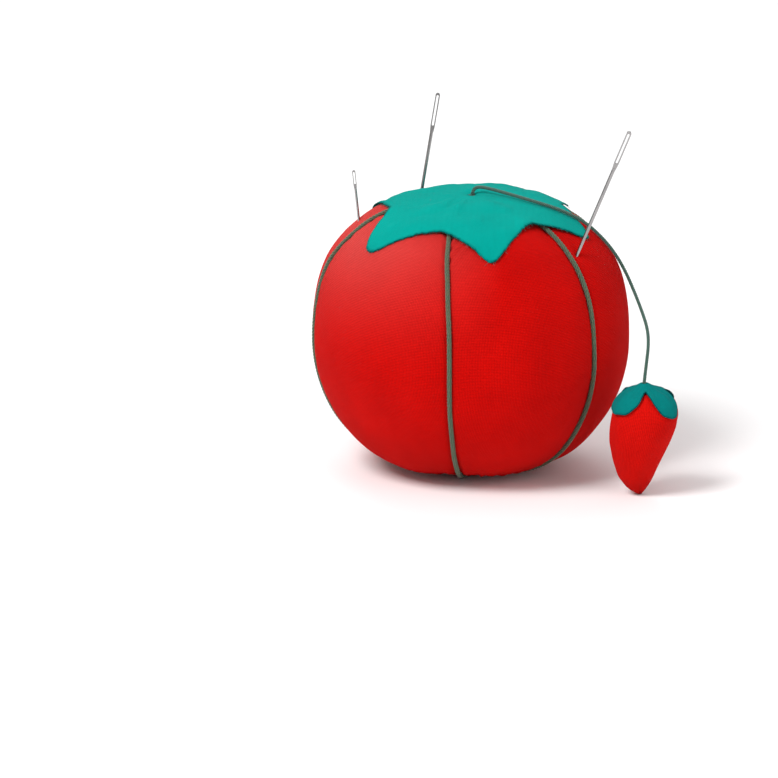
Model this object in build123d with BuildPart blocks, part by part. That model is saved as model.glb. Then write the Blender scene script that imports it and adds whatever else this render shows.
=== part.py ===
from build123d import *
import os
from math import asin, atan2, cos, degrees, hypot, pi, radians, sin, sqrt, tan

# Tomato pin cushion with a strawberry emery on a cord and three needles stuck in it.
# Millimetres. +Z is up, -Y is the front, and the origin is the centre of the flat foot.
# An azimuth is counted from the front, and grows towards the right (+X).

# Cushion body: a stuffed fabric ball whose outline is five tangent arcs
body_width = 90.0
body_height = 79.4  # fabric at the crown
widest_height = 38.8
foot_radius = 16.2  # edge of the stretch that lies flat
foot_slope = 79.4  # how far below level the outline faces there, degrees
crown_radius = 88.0
body_high_turns = (14.0, 77.0)  # the outline's direction where its upper arcs meet
body_low_turn = 40.0
dimple_radius = 9.0  # the foot is drawn up inside this
dimple_height = 2.6
cover_wall = 1.9  # the cloth with the thin batting that it is backed with
stuffing_gap = 0.05

# Seam cords, drawn tight round the body and up through its core
seam_azimuths = (-85.0, -9.0, 51.0, 105.0, 162.0, 218.0)
seam_cord_diameter = 1.6
seam_cord_inset = 0.3  # depth of the cord's centre below the fabric at the side
seam_cord_gap = 0.05
core_ring_radius = 1.95  # the cords' centres inside the core
core_bend = 3.0  # bend where a cord turns into the core
dimple_bend = 12.0
dimple_turn = 25.0
core_joint_gap = 0.4  # between a cord's two ends inside the core
gather_hole = 3.6

# Gathering threads that close the cover
thread_diameter = 0.5
top_thread_ring = 5.4
bottom_thread_ring = 5.8
thread_gap = 0.1

# Tie under the foot
foot_knot_radius = 2.8
foot_knot_height = 0.85

# Leaf: one flat piece of cloth with six lobes, draped over the crown
leaf_clearance = 0.65  # over the cover, so that the seam cords pass under it
leaf_wall = 0.45
leaf_tips = ((-55.0, 34.8), (8.5, 35.3), (70.0, 35.4), (122.0, 33.5), (190.0, 34.5), (236.0, 34.0))
leaf_notches = ((-20.0, 25.5), (39.0, 24.5), (97.0, 29.0), (156.0, 25.0), (214.0, 25.5), (282.0, 23.3))
leaf_tip_round = 2.6
leaf_hole = 0.75

# Needles: where each enters the cover, which way it points, and its sizes
needle_fit = 0.05  # radial clearance of the channel that a needle makes
needle_push = 8.0  # how much deeper a needle can be pushed
needles = {
    "needle_back": dict(
        x=-14.6, y=26.0, lean=(0.168, 0.12),
        length=58.0, out=30.3, diameter=0.95, eye=9.0
    ),
    "needle_right": dict(
        x=29.7, y=-20.0, lean=(0.398, -0.083),
        length=58.0, out=38.6, diameter=1.0, eye=9.5
    ),
    "needle_left": dict(
        x=-32.4, y=5.5, lean=(-0.105, 0.07),
        length=38.0, out=14.7, diameter=0.7, eye=3.6
    ),
}
needle_point_length = 5.0
needle_point_radius = 0.05
eye_width_share = 0.5  # of the head's width
head_width_share = 1.35  # of the shaft's diameter
head_depth_share = 0.8

# Hanging cord: up from its knot through the leaf, over the crown, and free from the shoulder on
hang_cord_diameter = 1.05
hang_route = (
    (0, 0, 79.85),
    (0, 0, 81.9),
    (2.1, 0.1, 83.1),
    (5.4, 0.3, 82.6),
    (10.2, 0.6, 80.9),
    (18.8, 0.9, 79.4),
    (25.2, 0.5, 77.5),
    (31.6, 0.1, 74.1),
    (37.3, 0, 69.2),
    (41.6, 0, 63.3),
    (44.2, -1.2, 57.4),
    (46.2, -7, 53),
    (48.2, -14, 48.9),
    (49.6, -21.6, 45.6),
    (49.6, -28.6, 42.6),
    (48.8, -33, 38.4),
    (48.2, -34.2, 33.2),
)
hang_hinge_run = 9  # the run that the shoulder hinge parts, counted from 0
hinge_gap = 0.9
anchor_radius = 1.2
anchor_height = 1.6

# Strawberry emery: stands on its tip beside the cushion, leaning a little to the front
berry_width = 19.3
berry_height = 31.6  # cover, from the tip to the crown
berry_crown_rise = 0.84974  # from the widest place to the crown, over half the width
berry_crown_round = 1.29534  # the crown's radius, over half the width
berry_widest = berry_height - berry_crown_rise * berry_width / 2
berry_crown_radius = berry_crown_round * berry_width / 2
berry_high_turns = (1.0, 62.0)
berry_low_turn = 33.0
berry_azimuth = 56.5
berry_gap = 3.2  # between the two pieces where both are widest
berry_lean = 4.5
berry_wall = 0.5
berry_hole = 1.6
berry_cap_clearance = 0.12
berry_cap_wall = 0.4
berry_cap_drop = 9.0  # from the crown down to the tips of the cap's lobes
berry_cap_notch = 4.2
berry_lobes = 4
berry_notch_turn = 2.0  # of the front notch, from straight ahead
berry_knot_radius = 1.5
berry_knot_height = 1.3
berry_thread_ring = 3.0

body_radius = body_width / 2
cord_radius = seam_cord_diameter / 2
groove_radius = cord_radius + seam_cord_gap


def tangent_radii(rise, reach, first, second):
    """Radii of two tangent arcs, level to first and first to second degrees, that span rise by reach."""
    a, b = radians(first), radians(second)
    up = (sin(a), sin(b) - sin(a))
    back = (1 - cos(a), cos(a) - cos(b))
    whole = up[0] * back[1] - up[1] * back[0]
    return (rise * back[1] - up[1] * reach) / whole, (up[0] * reach - rise * back[0]) / whole


def high_arcs(radius, base, top, crown, turns):
    """Arcs (x, z, radius, from, to) of the outline from its widest point up to its axis."""
    end = radians(turns[1])
    side, shoulder = tangent_radii(
        top - base - crown * (1 - sin(end)), radius - crown * cos(end), turns[0], turns[1]
    )
    x, turn = radius - side, radians(turns[0])
    return [
        (x, base, side, 0, turns[0]),
        (x + (side - shoulder) * cos(turn), base + (side - shoulder) * sin(turn), shoulder, *turns),
        (0, top - crown, crown, turns[1], 90),
    ]


def low_arcs(radius, base, end_radius, turn, end_turn):
    """Arcs of the outline from its end at height 0 up to its widest point."""
    side, low = tangent_radii(base, radius - end_radius, turn, end_turn)
    x, a = radius - side, radians(turn)
    return [
        (x + (side - low) * cos(a), base - (side - low) * sin(a), low, -end_turn, -turn),
        (x, base, side, -turn, 0),
    ]


def draw_arcs(arcs, inset):
    """Draw the arcs, offset inwards, in the open line builder."""
    for x, z, radius, start, end in arcs:
        CenterArc((x, z), radius - inset, start, end - start)


body_high = high_arcs(body_radius, widest_height, body_height, crown_radius, body_high_turns)
body_low = low_arcs(body_radius, widest_height, foot_radius, body_low_turn, foot_slope)


def crown_above(radius):
    """Height of the cover's upper side at a distance from the axis."""
    for x, z, arc, start, end in reversed(body_high):
        if x + arc * cos(radians(end)) - 1e-6 <= radius <= x + arc * cos(radians(start)) + 1e-6:
            return z + sqrt(arc**2 - (radius - x) ** 2)


def body_lump(inset):
    """The whole body as one solid, offset inwards, with its dimple and its flat foot."""
    x, z, arc, _, end = body_low[0]
    foot_end = -degrees(asin((z - inset) / (arc - inset)))
    slope = atan2(dimple_height, dimple_radius - gather_hole)
    dimple_top = dimple_height + inset / cos(slope)
    dimple_edge = dimple_radius + inset * tan(slope / 2)
    foot_edge = x + (arc - inset) * cos(radians(foot_end))
    with BuildPart() as lump:
        with BuildSketch(Plane.XZ):
            with BuildLine():
                draw_arcs([(x, z, arc, foot_end, end), *body_low[1:], *body_high], inset)
                Polyline(
                    (foot_edge, inset),
                    (dimple_edge, inset),
                    (gather_hole, dimple_top),
                    (0, dimple_top),
                    (0, body_height - inset),
                )
            make_face()
        revolve(axis=Axis.Z)
    return lump.part


def meridian(azimuth):
    """The upright plane through the axis at an azimuth, with its X outwards and its Y up."""
    a = radians(azimuth)
    return Plane(origin=(0, 0, 0), x_dir=(sin(a), -cos(a), 0), z_dir=(-cos(a), -sin(a), 0))


def seam_route(azimuth, core=True):
    """A seam cord's loop: down the core, under the foot, up the side, over the crown, into the core."""
    inset = seam_cord_inset
    (_, _, side_low, _, _), (_, _, side_high, _, _) = body_low[1], body_high[0]
    low_turn = radians(body_low_turn)
    reach = side_low - inset
    foot = (widest_height - cord_radius - reach * sin(low_turn)) / (1 - sin(low_turn))
    foot_x = body_radius - inset - reach * (1 - cos(low_turn)) - foot * cos(low_turn)
    bend_x = core_ring_radius + core_bend
    turn = radians(270 - dimple_turn)
    dimple_x = bend_x - (dimple_bend - core_bend) * cos(turn)
    bend_z = cord_radius + dimple_bend + (dimple_bend - core_bend) * sin(turn)
    crown_z = body_height - crown_radius
    crown_reach = crown_radius - inset
    top_z = crown_z + sqrt((crown_reach - core_bend) ** 2 - bend_x**2)
    top_turn = degrees(atan2(top_z - crown_z, bend_x))
    middle = (top_z + bend_z) / 2
    with BuildLine(meridian(azimuth)) as route:
        if core:
            Line((core_ring_radius, middle - core_joint_gap / 2), (core_ring_radius, bend_z))
        CenterArc((bend_x, bend_z), core_bend, 180, 90 - dimple_turn)
        CenterArc((dimple_x, cord_radius + dimple_bend), dimple_bend, 270 - dimple_turn, dimple_turn)
        Line((dimple_x, cord_radius), (foot_x, cord_radius))
        CenterArc((foot_x, cord_radius + foot), foot, 270, 90 - body_low_turn)
        CenterArc((body_radius - side_low, widest_height), reach, -body_low_turn, body_low_turn)
        draw_arcs(body_high[:2], inset)
        CenterArc((0, crown_z), crown_reach, body_high_turns[1], top_turn - body_high_turns[1])
        CenterArc((bend_x, top_z), core_bend, top_turn, 180 - top_turn)
        if core:
            Line((core_ring_radius, top_z), (core_ring_radius, middle + core_joint_gap / 2))
    return route.wire()


def tube(path, radius):
    """A round tube along a path."""
    with BuildPart() as made:
        with BuildSketch(Plane(origin=path @ 0, z_dir=path % 0)):
            Circle(radius)
        sweep(path=path)
    return made.part


def ring(radius, height, wire):
    """A closed ring of thread about the Z axis."""
    with BuildPart() as made:
        with BuildSketch(Plane.XZ):
            with Locations((radius, height)):
                Circle(wire)
        revolve(axis=Axis.Z)
    return made.part


def needle_plane(name):
    """A needle's own plane: its origin is the point of entry, its Z runs up the needle."""
    n = needles[name]
    entry = (n["x"], n["y"], crown_above(hypot(n["x"], n["y"])))
    along = Vector(n["lean"][0], n["lean"][1], 1).normalized()
    return Plane(origin=entry, x_dir=Vector(0, -1, 0).cross(along), z_dir=along)


def needle_channels():
    """The channels that the needles make, deep enough to push each one further in."""
    made = []
    for name, n in needles.items():
        plane = needle_plane(name)
        depth = n["length"] - n["out"] + needle_push + 1
        above = 8.0
        with BuildPart() as channel:
            with BuildSketch(plane.offset(-depth)):
                Circle(n["diameter"] / 2 + needle_fit)
            extrude(amount=depth + above)
        made.append(channel.part)
    return made


def core_post(radius):
    """A post along the axis, right through the body."""
    with BuildPart() as post:
        with BuildSketch(Plane.XY.offset(-1)):
            Circle(radius)
        extrude(amount=body_height + 2)
    return post.part


routes = [seam_route(azimuth) for azimuth in seam_azimuths]
grooves = [seam_route(azimuth, core=False) for azimuth in seam_azimuths]
channels = needle_channels()
pieces = []


def finish(part, name):
    """Name a finished piece and keep it for writing."""
    part.label = name
    pieces.append(part)


# The cover: a shell with a groove for each seam cord, open where the cords enter the core
with BuildPart() as cover:
    add(body_lump(0))
    add(body_lump(cover_wall), mode=Mode.SUBTRACT)
    add(core_post(gather_hole), mode=Mode.SUBTRACT)
    for channel in channels:
        add(channel, mode=Mode.SUBTRACT)
    for groove in grooves:
        add(tube(groove, groove_radius), mode=Mode.SUBTRACT)
finish(cover.part, "cover")

# Gathering threads, one at each end of the cover, inside it
top_thread_height = crown_above(top_thread_ring) - cover_wall - thread_gap - thread_diameter / 2
bottom_thread_height = dimple_height + cover_wall + thread_gap + thread_diameter / 2
top_thread = ring(top_thread_ring, top_thread_height, thread_diameter / 2)
bottom_thread = ring(bottom_thread_ring, bottom_thread_height, thread_diameter / 2)
finish(top_thread, "top_gather_thread")
finish(bottom_thread, "bottom_gather_thread")

# The stuffing fills the cover, apart from the core and the rings of thread
with BuildPart() as stuffing:
    add(body_lump(cover_wall + stuffing_gap))
    add(core_post(gather_hole + stuffing_gap), mode=Mode.SUBTRACT)
    for radius, height in ((top_thread_ring, top_thread_height), (bottom_thread_ring, bottom_thread_height)):
        add(ring(radius, height, thread_diameter / 2 + thread_gap), mode=Mode.SUBTRACT)
    for channel in channels:
        add(channel, mode=Mode.SUBTRACT)
finish(stuffing.part, "stuffing")

# Seam cords
for number, route in enumerate(routes, 1):
    finish(tube(route, cord_radius), f"seam_cord_{number}")

# The tie of the cords' ends, pressed flat where the cushion stands
with BuildPart() as foot_knot:
    with BuildSketch(Plane.XY):
        Circle(foot_knot_radius)
    extrude(amount=foot_knot_height)
    fillet(foot_knot.edges().group_by(Axis.Z)[-1], foot_knot_height / 3)
finish(foot_knot.part, "foot_knot")


def polar(azimuth, radius):
    """A point in plan at an azimuth and a distance from the axis."""
    return (radius * sin(radians(azimuth)), -radius * cos(radians(azimuth)))


# Leaf: the cloth between two offsets of the crown, cut to its lobed outline
leaf_outline = [p for pair in zip(leaf_tips, leaf_notches) for p in pair]
with BuildPart() as leaf_under:
    add(body_lump(-leaf_clearance))

with BuildPart() as leaf:
    add(body_lump(-leaf_clearance - leaf_wall))
    add(leaf_under.part, mode=Mode.SUBTRACT)
    with BuildSketch(Plane.XY.offset(widest_height)):
        Polygon(*[polar(azimuth, radius) for azimuth, radius in leaf_outline], align=None)
        corners = vertices()
        fillet([v for v in corners if hypot(v.X, v.Y) > 31], leaf_tip_round)
        Circle(leaf_hole, mode=Mode.SUBTRACT)
    extrude(amount=body_height, mode=Mode.INTERSECT)
    for channel in channels:
        add(channel, mode=Mode.SUBTRACT)
finish(leaf.part, "leaf")

# Anchor knot of the hanging cord, under the leaf, with its top where the cord starts
with BuildPart() as anchor:
    with BuildSketch(Plane.XY.offset(hang_route[0][2] - anchor_height)):
        Circle(anchor_radius)
    extrude(amount=anchor_height)
    fillet(anchor.edges().group_by(Axis.Z)[0], anchor_height / 3)
finish(anchor.part, "cord_anchor_knot")


def free_route(points):
    """Straight runs joined by arcs as large as the runs allow."""
    corners = [Vector(*p) for p in points]
    radii = []
    for before, at, after in zip(corners, corners[1:], corners[2:]):
        turn = (at - before).get_angle(after - at)
        shorter = min((at - before).length, (after - at).length)
        radii.append(0.45 * shorter / tan(radians(turn) / 2))
    print("cord radii", [round(r, 1) for r in radii])
    with BuildLine() as route:
        FilletPolyline(*corners, radius=radii)
    return route.wire()


# The hanging cord in two tubes, parted at the shoulder where it swings
run_start, run_end = (Vector(*hang_route[hang_hinge_run + k]) for k in (0, 1))
hinge_point = (run_start + run_end) * 0.5
half_gap = (run_end - run_start).normalized() * (hinge_gap / 2)
lying_points = [*hang_route[: hang_hinge_run + 1], tuple(hinge_point - half_gap)]
swinging_points = [tuple(hinge_point + half_gap), *hang_route[hang_hinge_run + 1 :]]
for points, name in ((lying_points, "hanging_cord_top"), (swinging_points, "hanging_cord_end")):
    route = free_route(points)
    cord = tube(route, hang_cord_diameter / 2)
    share = cord.volume / (pi * (hang_cord_diameter / 2) ** 2 * route.length)
    print(name, "length", round(route.length, 1), "volume share", round(share, 3))
    finish(cord, name)
print("shoulder hinge", hinge_point)

# Needles: a shaft with a point, and a flattened head with a long eye
for name, n in needles.items():
    plane = needle_plane(name)
    side = Plane(origin=plane.origin, x_dir=plane.x_dir, z_dir=plane.x_dir.cross(plane.z_dir))
    radius = n["diameter"] / 2
    head = n["diameter"] * head_width_share / 2
    point = n["out"] - n["length"]
    neck = n["out"] - n["eye"] - 4 * head
    with BuildPart() as needle:
        with BuildSketch(side):
            Polygon(
                (0, point),
                (needle_point_radius, point),
                (radius, point + needle_point_length),
                (radius, neck + head),
                (0, neck + head),
                align=None,
            )
        revolve(axis=Axis(plane.origin, plane.z_dir))
        with BuildSketch(side):
            with BuildLine():
                Polyline((-head, n["out"] - head), (-head, neck + 3 * head), (-radius, neck))
                Line((-radius, neck), (radius, neck))
                Polyline((radius, neck), (head, neck + 3 * head), (head, n["out"] - head))
                ThreePointArc((head, n["out"] - head), (0, n["out"]), (-head, n["out"] - head))
            make_face()
        extrude(amount=n["diameter"] * head_depth_share / 2, both=True)
        with BuildSketch(side):
            with Locations((0, n["out"] - head - n["eye"] / 2)):
                SlotOverall(n["eye"], 2 * head * eye_width_share, rotation=90)
        extrude(amount=n["diameter"], both=True, mode=Mode.SUBTRACT)
    finish(needle.part, name)
    print(name, "entry", plane.origin, "axis", plane.z_dir)

# Strawberry emery, drawn on planes of its own: Z runs from its tip up its axis
berry_low = low_arcs(berry_width / 2, berry_widest, 0, berry_low_turn, 90)
berry_high = high_arcs(
    berry_width / 2, berry_widest, berry_height, berry_crown_radius, berry_high_turns
)
berry_tip = berry_low[0][2]
berry_axis = Vector(0, -sin(radians(berry_lean)), cos(radians(berry_lean)))
berry_plan = polar(berry_azimuth, body_radius + berry_gap + berry_width / 2)
berry_foot = Vector(*berry_plan, berry_tip) - berry_axis * berry_tip
berry_up = Plane(origin=berry_foot, x_dir=(1, 0, 0), z_dir=berry_axis)
berry_side = Plane(origin=berry_foot, x_dir=(1, 0, 0), z_dir=Vector(1, 0, 0).cross(berry_axis))
berry_line = Axis(berry_foot, berry_axis)


def berry_lump(inset):
    """The strawberry as one solid, offset inwards."""
    with BuildPart() as lump:
        with BuildSketch(berry_side):
            with BuildLine():
                draw_arcs([*berry_low, *berry_high], inset)
                Line((0, berry_height - inset), (0, inset))
            make_face()
        revolve(axis=berry_line)
    return lump.part


def berry_post(radius, start, height):
    """A round post on the strawberry's axis."""
    with BuildPart() as post:
        with BuildSketch(berry_up.offset(start)):
            Circle(radius)
        extrude(amount=height)
    return post.part


def berry_ring(wire):
    """The strawberry's ring of gathering thread, under its cover."""
    sag = berry_crown_radius - sqrt(berry_crown_radius**2 - berry_thread_ring**2)
    height = berry_height - sag - berry_wall - thread_gap - thread_diameter / 2
    with BuildPart() as made:
        with BuildSketch(berry_side):
            with Locations((berry_thread_ring, height)):
                Circle(wire)
        revolve(axis=berry_line)
    return made.part


berry_knot_start = berry_height - berry_wall
with BuildPart() as berry_cover:
    add(berry_lump(0))
    add(berry_lump(berry_wall), mode=Mode.SUBTRACT)
    add(berry_post(berry_hole, berry_widest, berry_height), mode=Mode.SUBTRACT)
finish(berry_cover.part, "strawberry_cover")

with BuildPart() as berry_filling:
    add(berry_lump(berry_wall + stuffing_gap))
    add(berry_ring(thread_diameter / 2 + thread_gap), mode=Mode.SUBTRACT)
finish(berry_filling.part, "strawberry_filling")

finish(berry_ring(thread_diameter / 2), "strawberry_gather_thread")

# The strawberry's cap: cloth over its crown, with a notch between each two lobes
with BuildPart() as berry_cap:
    add(berry_lump(-berry_cap_clearance - berry_cap_wall))
    add(berry_lump(-berry_cap_clearance), mode=Mode.SUBTRACT)
    add(berry_post(berry_width, -1, 1 + berry_height - berry_cap_drop), mode=Mode.SUBTRACT)
    add(berry_post(berry_hole, berry_widest, berry_height), mode=Mode.SUBTRACT)
    for number in range(berry_lobes):
        around = berry_up.rotated((0, 0, number * 360 / berry_lobes - 90 + berry_notch_turn))
        with BuildSketch(Plane(origin=berry_foot, x_dir=around.y_dir, z_dir=around.x_dir)):
            half_lobe = pi * berry_width / 2 / berry_lobes
            low = berry_height - berry_cap_drop - 1
            Polygon(
                (-half_lobe, low), (half_lobe, low), (0, berry_height - berry_cap_notch), align=None
            )
        extrude(amount=berry_width, mode=Mode.SUBTRACT)
finish(berry_cap.part, "strawberry_cap")

finish(berry_post(berry_knot_radius, berry_knot_start, berry_knot_height), "strawberry_knot")
print("knot top", berry_foot + berry_axis * (berry_knot_start + berry_knot_height))
print("strawberry foot", berry_foot, "axis", berry_axis)

os.makedirs("parts", exist_ok=True)
for piece in pieces:
    export_step(piece, f"parts/{piece.label}.step")
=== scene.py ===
import math

import bpy
import numpy as np
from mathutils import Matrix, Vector, noise


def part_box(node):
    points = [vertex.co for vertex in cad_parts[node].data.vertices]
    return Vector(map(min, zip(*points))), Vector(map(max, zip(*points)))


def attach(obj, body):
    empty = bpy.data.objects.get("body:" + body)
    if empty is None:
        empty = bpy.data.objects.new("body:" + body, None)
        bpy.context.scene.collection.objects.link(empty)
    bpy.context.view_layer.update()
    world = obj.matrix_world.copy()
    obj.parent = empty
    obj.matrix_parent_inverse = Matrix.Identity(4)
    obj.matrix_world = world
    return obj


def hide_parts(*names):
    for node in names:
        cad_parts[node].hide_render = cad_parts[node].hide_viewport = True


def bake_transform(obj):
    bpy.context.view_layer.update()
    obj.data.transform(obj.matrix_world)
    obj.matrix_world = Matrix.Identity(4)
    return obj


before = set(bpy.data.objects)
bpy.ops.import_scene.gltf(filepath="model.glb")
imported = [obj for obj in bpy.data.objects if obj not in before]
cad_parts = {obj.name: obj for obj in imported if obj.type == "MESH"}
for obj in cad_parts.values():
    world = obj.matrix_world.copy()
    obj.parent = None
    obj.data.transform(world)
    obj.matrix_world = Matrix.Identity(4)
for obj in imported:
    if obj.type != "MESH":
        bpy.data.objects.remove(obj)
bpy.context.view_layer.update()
millimetre = 0.001


# camera, floor and light

studio = {  # metres, degrees and watts
    "lens": 321.0,
    "elevation": 15.5,
    "distance": 2.0,
    "toRight": -0.0238,
    "upward": 0.0213,
    "floorSize": 9,
    "floorTone": 0.88,
    "worldTone": 0.52,
    "lights": (  # name, place, width, power
        ("windowLight", (-0.6, -0.6, 1.0), 0.5, 15),
        ("fillLight", (0.9, -0.7, 0.5), 0.9, 4.2),
        ("backLight", (-0.2, 0.9, 0.9), 0.8, 5),
    ),
    "lightsAim": (0, 0, 0.04),
}


def placeCamera():
    lift = math.radians(studio["elevation"])
    back = Vector((0, -math.cos(lift), math.sin(lift)))
    upward = Vector((0, math.sin(lift), math.cos(lift)))
    aim = Vector((studio["toRight"], 0, 0)) + upward * studio["upward"]
    cameraData = bpy.data.cameras.new("studioCamera")
    cameraData.lens = studio["lens"]
    cameraData.clip_start = 0.01
    cameraData.clip_end = 20
    camera = bpy.data.objects.new("studioCamera", cameraData)
    bpy.context.collection.objects.link(camera)
    camera.location = aim + back * studio["distance"]
    camera.rotation_euler = (-back).to_track_quat("-Z", "Y").to_euler()
    bpy.context.scene.camera = camera


def softLight(name, place, width, power):
    lamp = bpy.data.lights.new(name, "AREA")
    lamp.size = width
    lamp.energy = power
    holder = bpy.data.objects.new(name, lamp)
    bpy.context.collection.objects.link(holder)
    holder.location = place
    aim = Vector(studio["lightsAim"]) - Vector(place)
    holder.rotation_euler = aim.to_track_quat("-Z", "Y").to_euler()


def setStage():
    bpy.ops.object.select_all(action="DESELECT")
    bpy.ops.mesh.primitive_plane_add(size=studio["floorSize"])
    floor = bpy.context.object
    floor.name = "studioFloor"
    paper = bpy.data.materials.new("floorPaper")
    paper.use_nodes = True
    shader = paper.node_tree.nodes["Principled BSDF"]
    tone = studio["floorTone"]
    shader.inputs["Base Color"].default_value = (tone, tone, tone, 1)
    shader.inputs["Roughness"].default_value = 0.9
    floor.data.materials.append(paper)
    world = bpy.data.worlds.new("studioAir")
    world.use_nodes = True
    backdrop = world.node_tree.nodes["Background"]
    backdrop.inputs["Color"].default_value = (1, 1, 1, 1)
    backdrop.inputs["Strength"].default_value = studio["worldTone"]
    bpy.context.scene.world = world
    for name, place, width, power in studio["lights"]:
        softLight(name, place, width, power)
    bpy.context.scene.view_settings.view_transform = "Standard"


placeCamera()
setStage()
print("camera, floor and light are in place")


# materials

def tint(red, green, blue):  # sRGB from 0 to 255, as linear light
    channels = []
    for value in (red, green, blue):
        value = value / 255
        channels.append(value / 12.92 if value < 0.04045 else ((value + 0.055) / 1.055) ** 2.4)
    return (*channels, 1)


class Recipe:  # one material and the nodes that it is mixed from
    def __init__(self, name):
        self.material = bpy.data.materials.new(name)
        self.material.use_nodes = True
        self.tree = self.material.node_tree
        self.shader = self.tree.nodes["Principled BSDF"]

    def add(self, kind, **values):
        node = self.tree.nodes.new(kind)
        for key, value in values.items():
            setattr(node, key, value)
        return node

    def join(self, output, entry):
        self.tree.links.new(output, entry)

    def sums(self, operation, first, second=None, clamp=False):
        node = self.add("ShaderNodeMath", operation=operation, use_clamp=clamp)
        for entry, value in zip(node.inputs, (first, second)):
            if value is None:
                continue
            if isinstance(value, (int, float)):
                entry.default_value = value
            else:
                self.join(value, entry)
        return node.outputs[0]

    def grain(self, scale, detail=3.0):
        cloud = self.add("ShaderNodeTexNoise")
        cloud.inputs["Scale"].default_value = scale
        cloud.inputs["Detail"].default_value = detail
        self.join(self.add("ShaderNodeTexCoord").outputs["Object"], cloud.inputs["Vector"])
        return cloud.outputs["Fac"]

    def blendTones(self, share, first, second):
        mixer = self.add("ShaderNodeMix", data_type="RGBA")
        entries = (mixer.inputs[0], mixer.inputs[6], mixer.inputs[7])
        for entry, value in zip(entries, (share, first, second)):
            if isinstance(value, (tuple, float, int)):
                entry.default_value = value
            else:
                self.join(value, entry)
        return mixer.outputs[2]

    def timesPlus(self, value, first, second):
        return self.sums("ADD", self.sums("MULTIPLY", value, first), second)

    def relief(self, height, depth):
        bump = self.add("ShaderNodeBump")
        bump.inputs["Strength"].default_value = 1.0
        bump.inputs["Distance"].default_value = depth
        self.join(height, bump.inputs["Height"])
        self.join(bump.outputs["Normal"], self.shader.inputs["Normal"])


paintedSheen = {  # painted sheen: the cover is painted a paler red high up on the left, where the light glances off it
    "tone": tint(218, 84, 80),
    "lowest": 0.034,  # where it starts, above the floor
    "rise": 0.036,
    "steepness": 2.4,
    "sideways": 0.043,
    "middle": 0.19,  # share on the centre line
    "most": 0.75,
    "threadTops": 0.8,  # how much more the tops of the threads take it
    "valleys": 0.45,
}


# share of the painted sheen: high on the cover, towards the left, stronger on the thread tops
def paintedSheenShare(recipe, rise):
    place = recipe.add("ShaderNodeTexCoord").outputs["Object"]
    split = recipe.add("ShaderNodeSeparateXYZ")
    recipe.join(place, split.inputs[0])
    upward = recipe.sums("SUBTRACT", split.outputs[2], paintedSheen["lowest"])
    upward = recipe.sums("DIVIDE", upward, paintedSheen["rise"], clamp=True)
    toSide = recipe.sums("DIVIDE", split.outputs[0], paintedSheen["sideways"])
    toSide = recipe.sums("SUBTRACT", paintedSheen["middle"], toSide, clamp=True)
    share = recipe.sums("MULTIPLY", recipe.sums("POWER", upward, paintedSheen["steepness"]), toSide)
    share = recipe.sums("MULTIPLY", share, paintedSheen["most"])
    tops = recipe.timesPlus(rise, paintedSheen["threadTops"], paintedSheen["valleys"])
    return recipe.sums("MULTIPLY", share, tops, clamp=True)


weave = {
    "wobbleGrain": 900,  # a grain is how many noise patches come in a metre
    "patchGrain": 70,
    "slubGrain": 2600,
    "edgeGrain": 1400,
    "wobble": 1.3,  # how far the threads wander, in radians of their pitch
    "roundness": 0.6,
    "threadShare": 0.62,
    "patchShare": 0.5,
    "slubShare": 0.3,
    "darker": 0.22,
    "edgeSpecks": 1.5,
    "roughness": 0.72,
    "slubRoughness": 0.2,
    "slubRelief": 0.6,
    "sheen": 0.012,
    "sheenRoughness": 0.42,
    "gloss": 0.02,
}


def wovenCloth(name, bright, deep, pitch, relief, edgeTone=None, withPaintedSheen=False):
    recipe = Recipe(name)
    place = recipe.add("ShaderNodeUVMap", uv_map="cloth").outputs["UV"]
    wobble = recipe.grain(weave["wobbleGrain"], 2.0)
    split = recipe.add("ShaderNodeSeparateXYZ")
    recipe.join(place, split.inputs[0])
    waves = []
    for axis in (0, 1):
        turn = recipe.sums("MULTIPLY", split.outputs[axis], math.pi / pitch)
        turn = recipe.sums("ADD", turn, recipe.sums("MULTIPLY", wobble, weave["wobble"]))
        waves.append(recipe.sums("SINE", turn))
    crossing = recipe.sums("MULTIPLY", waves[0], waves[1])
    rise = recipe.sums("POWER", recipe.sums("ABSOLUTE", crossing), weave["roundness"])
    patches = recipe.grain(weave["patchGrain"], 4.0)
    slubs = recipe.grain(weave["slubGrain"], 2.0)
    # thread tops take the bright tone and the gaps between threads the deep tone, painted shade in the
    # gaps; the patches and slubs add random tone
    share = recipe.sums("MULTIPLY", rise, weave["threadShare"])
    share = recipe.sums("ADD", share, recipe.sums("MULTIPLY", patches, weave["patchShare"]))
    share = recipe.sums("ADD", share, recipe.sums("MULTIPLY", slubs, weave["slubShare"]))
    share = recipe.sums("SUBTRACT", share, weave["darker"], clamp=True)
    colour = recipe.blendTones(share, deep, bright)
    # blend the painted sheen into the cloth's colour
    if withPaintedSheen:
        colour = recipe.blendTones(paintedSheenShare(recipe, rise), colour, paintedSheen["tone"])
    if edgeTone:
        rim = recipe.add("ShaderNodeAttribute", attribute_name="nearEdge").outputs["Fac"]
        specks = recipe.sums("MULTIPLY", recipe.grain(weave["edgeGrain"], 2.0), weave["edgeSpecks"])
        specks = recipe.sums("MULTIPLY", rim, specks, clamp=True)
        colour = recipe.blendTones(specks, colour, edgeTone)
    recipe.join(colour, recipe.shader.inputs["Base Color"])
    rough = recipe.timesPlus(slubs, weave["slubRoughness"], weave["roughness"])
    recipe.join(rough, recipe.shader.inputs["Roughness"])
    recipe.shader.inputs["Sheen Weight"].default_value = weave["sheen"]
    recipe.shader.inputs["Sheen Roughness"].default_value = weave["sheenRoughness"]
    recipe.shader.inputs["Specular IOR Level"].default_value = weave["gloss"]
    recipe.relief(recipe.timesPlus(slubs, weave["slubRelief"], rise), relief)
    return recipe.material


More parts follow.
